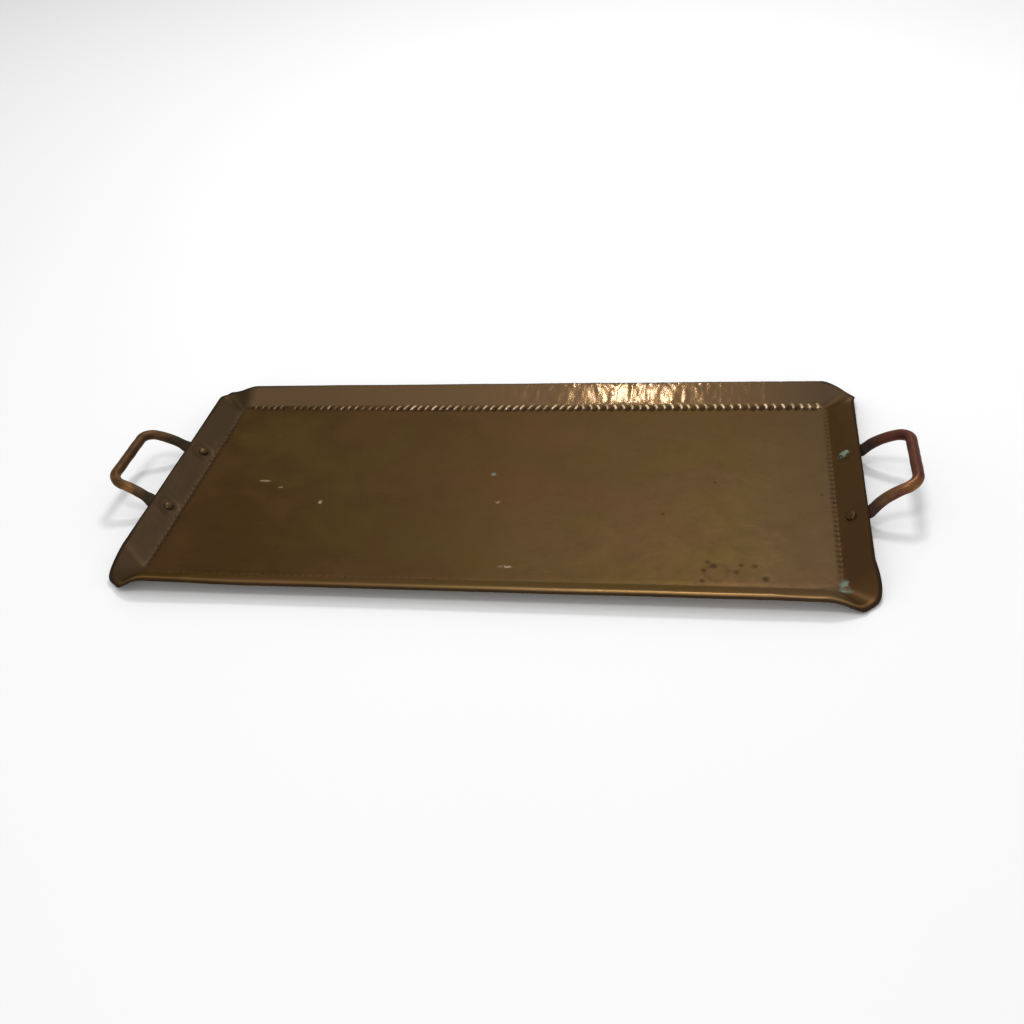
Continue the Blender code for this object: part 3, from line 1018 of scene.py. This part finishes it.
def makePanFinish():
    finish = Finish("patinatedCopper")
    x, y = finish.axis(0), finish.axis(1)
    # the inner skin's floor lies above the outer one, and only the inner one is marked
    inside = finish.axis(2).between(0.0009, 0.0013)
    struck, thrown = finish.painted("struck"), finish.painted("thrown")
    edge, crestHighlight = finish.painted("edge"), finish.painted("crestHighlight")
    beyondEnd = x.math("ABSOLUTE") - pan["floorHalfLength"]
    beyondSide = y.math("ABSOLUTE") - pan["floorHalfWidth"]
    wall = beyondEnd.math("MAXIMUM", beyondSide).between(0.0, 0.004)
    # the back wall's tone runs out to the tip of its right corner, elsewhere it stops short
    atBack = y.between(-0.1, 0.1)
    share = atBack * x.between(-0.1, 0.1) + (1 - atBack) * 0.45
    reach = beyondEnd - beyondSide.math("MAXIMUM", 0.0) * share
    onSide = beyondSide.between(0.0, 0.005)
    endWall = (reach.between(-0.0050, -0.0005) * (1 - onSide)
               + reach.between(-0.0120, 0.0050) * onSide)

    # patina: deep umber at the left, olive brown to the right, this lightening to the right partly
    # patina and partly a painted sheen; reddish and olive clouds
    clouds = finish.noise(6.5, 4.0, 0.55, 0.5)
    hues = finish.noise(11.0, 3.0, 0.5, 0.3, finish.mapped(location=(3.1, 1.7, 0.4)))
    mottle = finish.noise(42.0, 5.0, 0.62, 0.3)
    grain = finish.noise(210.0, 4.0, 0.6)
    shift = ((x + 0.33) / 0.36).clamp() * 0.85 + (clouds - 0.5) * 0.6 + 0.03
    colour = finish.blend(shift.clamp(), copper["umber"], copper["olive"])
    colour = finish.blend(hues.between(0.46, 0.66) * 0.40, colour, copper["reddish"])
    colour = finish.blend((1 - hues).between(0.50, 0.68) * 0.45, colour, copper["mossy"])
    shade = (mottle - 0.5) * 0.8 + (grain - 0.5) * 0.4 + 0.45
    colour = finish.blend(shade.clamp() * 0.28, colour, copper["shade"])
    # the end walls are darker: greyer at the left, redder at the right
    endTone = finish.blend(x.between(-0.1, 0.1), copper["leftEnd"], copper["rightEnd"])
    colour = finish.blend(x.between(0.19, 0.31) * 0.4, colour, copper["dull"])
    # the front wall and the back wall keep more of their polish
    frontWall = (0 - y - pan["floorHalfWidth"]).between(-0.003, 0.001) * (1 - endWall)
    colour = finish.blend(frontWall, colour, copper["frontGain"], "MULTIPLY")
    backWall = (y - pan["floorHalfWidth"]).between(0.002, 0.005) * (1 - endWall)
    polished = backWall * (0.50 + x.between(-0.25, 0.05) * 0.25 - x.between(0.20, 0.33) * 0.55)
    colour = finish.blend(polished, colour, copper["polished"])
    colour = finish.blend(endWall * 0.85, colour, endTone)

    # hollows are painted darker, partly dirt held in them and partly painted shade; along the back
    # the metal thrown up beside them is painted pale, partly rubbed wear and partly painted glints
    colour = finish.blend((struck * 1.6).clamp() * 0.88, colour, copper["hollowDirtAndShade"])
    # painted glints on the lips thrown up beside the back strokes, with some rubbed wear
    rubbedGlint = (thrown * 5.5).clamp() ** 2 * y.between(0.10, 0.12)
    rubbedGlint = rubbedGlint * (1 - beyondEnd.between(-0.0065, -0.0045))
    rubbedGlint = rubbedGlint * (0.35 + finish.noise(75.0, 2.0, 0.5).between(0.40, 0.60) * 0.50)
    colour = finish.blend(rubbedGlint, colour, copper["rubbedGlint"])
    colour = finish.blend(edge * 0.72, colour, copper["cutEdge"])
    # the front rim's crest carries a painted highlight, brightest from its middle to the right
    crest = (crestHighlight * (0.45 + x.between(-0.05, 0.10) * 0.55)).clamp()
    colour = finish.blend(crest * 0.75, colour, copper["crest"])

    # old wet rings, dark spots, pale nicks and a little verdigris
    ragged = (finish.noise(70.0, 3.0, 0.6) - 0.5) * 0.012
    rings = []
    for stain in ringStains:
        gap = (finish.away(stain["centre"]) + ragged * 0.35 - stain["radius"]).math("ABSOLUTE")
        rings.append((1 - gap.between(0.0, stain["width"])) * stain["depth"])
    stains = strongest(rings)
    colour = finish.blend(stains * (mottle * 1.6).clamp(), colour, copper["wetRing"])
    dark = spotted(finish, darkSpots, ragged, 0.7) * inside
    colour = finish.blend(dark * 0.65, colour, copper["spot"])
    pale = spotted(finish, paleNicks, ragged, 0.6) * grain.between(0.42, 0.55) * inside
    colour = finish.blend(pale * 0.75, colour, copper["nick"])
    green = spotted(finish, verdigrisSpots, ragged, 0.6) * grain.between(0.40, 0.54) * inside
    colour = finish.blend(green * 0.85, colour, copper["verdigris"])

    # fine scratches: very long thin streaks at two leans
    streaks = []
    for lean, scale in ((0.5, (60, 1400, 60)), (-0.9, (45, 1100, 45))):
        across = finish.mapped(scale=scale, rotation=(0, 0, lean))
        streaks.append(finish.noise(1.0, 2.0, 0.5, 0.0, across).between(0.66, 0.72))
    scratches = strongest(streaks) * finish.noise(22.0, 2.0).between(0.45, 0.62) * (1 - wall)
    colour = finish.blend(scratches * 0.18, colour, copper["scratch"])

    roughness = (0.46 - backWall * 0.29 + edge * 0.35 - crest * 0.14 + (mottle - 0.5) * 0.20
                 + (grain - 0.5) * 0.08 + dark * 0.15 + green * 0.4 + stains * 0.1)
    dents = finish.bump(finish.cells(100.0), 0.0003, 0.30)
    pitted = finish.bump(finish.noise(420.0, 3.0, 0.6), 0.00006, 0.4, dents)
    rippled = finish.bump(mottle, 0.0005, 0.30, pitted)
    finish.feed(colour=colour, roughness=roughness.clamp(), metallic=0.66 - green * 0.6,
                specular=0.2, tint=(1.0, 0.72, 0.42), coat=backWall * 0.34, coatRoughness=0.11,
                normal=rippled)
    return finish.material


def makeHandleFinish():
    finish = Finish("rubbedCopper")
    x, y, z = finish.axis(0), finish.axis(1), finish.axis(2)
    outward = x.math("ABSOLUTE")
    clouds = finish.noise(48.0, 4.0, 0.6, 0.3)
    grain = finish.noise(320.0, 4.0, 0.6)
    # the right handle is redder than the left one
    redder = x.between(-0.1, 0.1)
    body = finish.blend(redder, copper["rodLeft"], copper["rodRight"])
    second = finish.blend(redder, copper["rodLeftDark"], copper["rodRightDark"])
    colour = finish.blend(clouds.between(0.38, 0.62), body, second)
    # painted lighter on the upper front legs: rubbed wear where the hands go, and a painted
    # highlight
    rubbedGlint = finish.noise(60.0, 2.0, 0.5).between(0.34, 0.72)
    front = (1 - y.between(-0.046, -0.030)) * z.between(0.018, 0.030)
    colour = finish.blend(rubbedGlint * front * 0.65, colour, copper["rodRubbedGlint"])
    nearWall = 1 - outward.between(0.337, 0.357)
    colour = finish.blend(nearWall * (clouds * 1.6).clamp() * 0.85, colour, copper["sooty"])
    roughness = (0.44 + (clouds - 0.5) * 0.20 + nearWall * 0.12 + (grain - 0.5) * 0.1
                 - rubbedGlint * front * 0.16)
    dented = finish.bump(finish.cells(150.0), 0.0004, 0.30)
    pitted = finish.bump(grain, 0.00012, 0.5, dented)
    finish.feed(colour=colour, roughness=roughness.clamp(), metallic=0.60, specular=0.15,
                tint=(1.0, 0.75, 0.55), normal=pitted)
    return finish.material


def makeRivetFinish():
    finish = Finish("dullRivet")
    x, y = finish.axis(0), finish.axis(1)
    clouds = finish.noise(160.0, 4.0, 0.6, 0.3)
    grain = finish.noise(520.0, 3.0, 0.6)
    colour = finish.blend(clouds.between(0.35, 0.65), copper["rivet"], copper["rivetDark"])
    # the back rivet at the right is crusted green, the others only in specks
    crusted = x.between(0.2, 0.3) * y.between(0.0, 0.02)
    specks = finish.noise(240.0, 3.0, 0.6).between(0.62, 0.70) * 0.4
    crust = crusted * finish.noise(200.0, 3.0, 0.6).between(0.42, 0.52)
    green = specks.math("MAXIMUM", crust)
    colour = finish.blend(green * 0.85, colour, copper["verdigris"])
    roughness = 0.36 + (clouds - 0.5) * 0.25 + green * 0.35
    finish.feed(colour=colour, roughness=roughness.clamp(), metallic=0.7 - green * 0.6,
                specular=0.2, tint=(1.0, 0.72, 0.45), normal=finish.bump(grain, 0.00015, 0.5))
    return finish.material


panFinish = makePanFinish()
handleFinish = makeHandleFinish()
rivetFinish = makeRivetFinish()
print("finishes ready")

buildPan(panFinish)
for name, shape in handles.items():
    buildHandle(name, shape, handleFinish)
for index, (name, end) in enumerate((n, e) for n in handles for e in ("front", "back")):
    buildRivet(name, end, handles[name], index, rivetFinish)
print("rivets set")


# the setting: a pale floor, soft light from behind, above and in front, and the camera

studio = {
    "floorHalfSize": 6.0,
    "floorColour": (0.83, 0.83, 0.83),
    "world": 0.70,
    "lamps": {
        "key": {"place": (0.20, 1.12, 1.75), "aim": (0, 0, 0), "size": (0.38, 0.32),
                "glow": 37.0},
        "ceiling": {"place": (0, -0.60, 1.9), "aim": (0, 0, 0), "size": (0.50, 0.40),
                    "glow": 11.0},
        "spark": {"place": (0.0, 0.19, 1.35), "aim": (0.1, 0.15, 0), "size": (0.065, 0.065),
                  "glow": 62.0},
        "fill": {"place": (0, -2.2, 0.7), "aim": (0, 0, 0), "size": (2.4, 0.7), "glow": 1.5},
        "backdrop": {"place": (-0.5, 1.7, 1.8), "aim": (-0.8, 3.1, 0), "size": (2.0, 1.0),
                     "glow": 1.6},
    },
    "camera": {"place": (0.2193, -0.8339, 0.6307), "turn": (52.186, 6.273, 9.285),
               "lens": 39.28, "sensor": 36, "clipStart": 0.01},
}


def buildStudio():
    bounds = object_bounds()
    deselectAll()
    bpy.ops.mesh.primitive_plane_add(size=2 * studio["floorHalfSize"],
                                     location=(0, 0, bounds[0][2] - 0.0001))
    floor = bpy.context.object
    floor.name = "studioFloor"
    paper = Finish("palePaper")
    tone = paper.noise(3.0, 2.0)
    paper.feed(colour=paper.blend(tone, studio["floorColour"],
                                  tuple(value * 0.985 for value in studio["floorColour"])),
               roughness=0.9, specular=0.0)
    floor.data.materials.append(paper.material)

    for name, lamp in studio["lamps"].items():
        width, height = lamp["size"]
        light = bpy.data.lights.new(name, "AREA")
        light.shape = "RECTANGLE"
        light.size, light.size_y = width, height
        # an area lamp's power spread over its face gives its glow
        light.energy = lamp["glow"] * math.pi * width * height
        lampObject = bpy.data.objects.new(name, light)
        bpy.context.scene.collection.objects.link(lampObject)
        lampObject.location = lamp["place"]
        aim = Vector(lamp["aim"]) - Vector(lamp["place"])
        lampObject.rotation_euler = aim.to_track_quat("-Z", "Y").to_euler()

    world = bpy.data.worlds.new("softRoom")
    world.use_nodes = True
    grey = studio["world"]
    world.node_tree.nodes["Background"].inputs["Color"].default_value = (grey, grey, grey, 1)
    bpy.context.scene.world = world

    view = studio["camera"]
    lens = bpy.data.cameras.new("camera")
    lens.lens = view["lens"]
    lens.sensor_width = view["sensor"]
    lens.clip_start = view["clipStart"]
    camera = bpy.data.objects.new("camera", lens)
    bpy.context.scene.collection.objects.link(camera)
    camera.location = view["place"]
    camera.rotation_euler = [math.radians(angle) for angle in view["turn"]]
    bpy.context.scene.camera = camera
    bpy.context.scene.view_settings.view_transform = "Standard"
    print("studio set")


buildStudio()
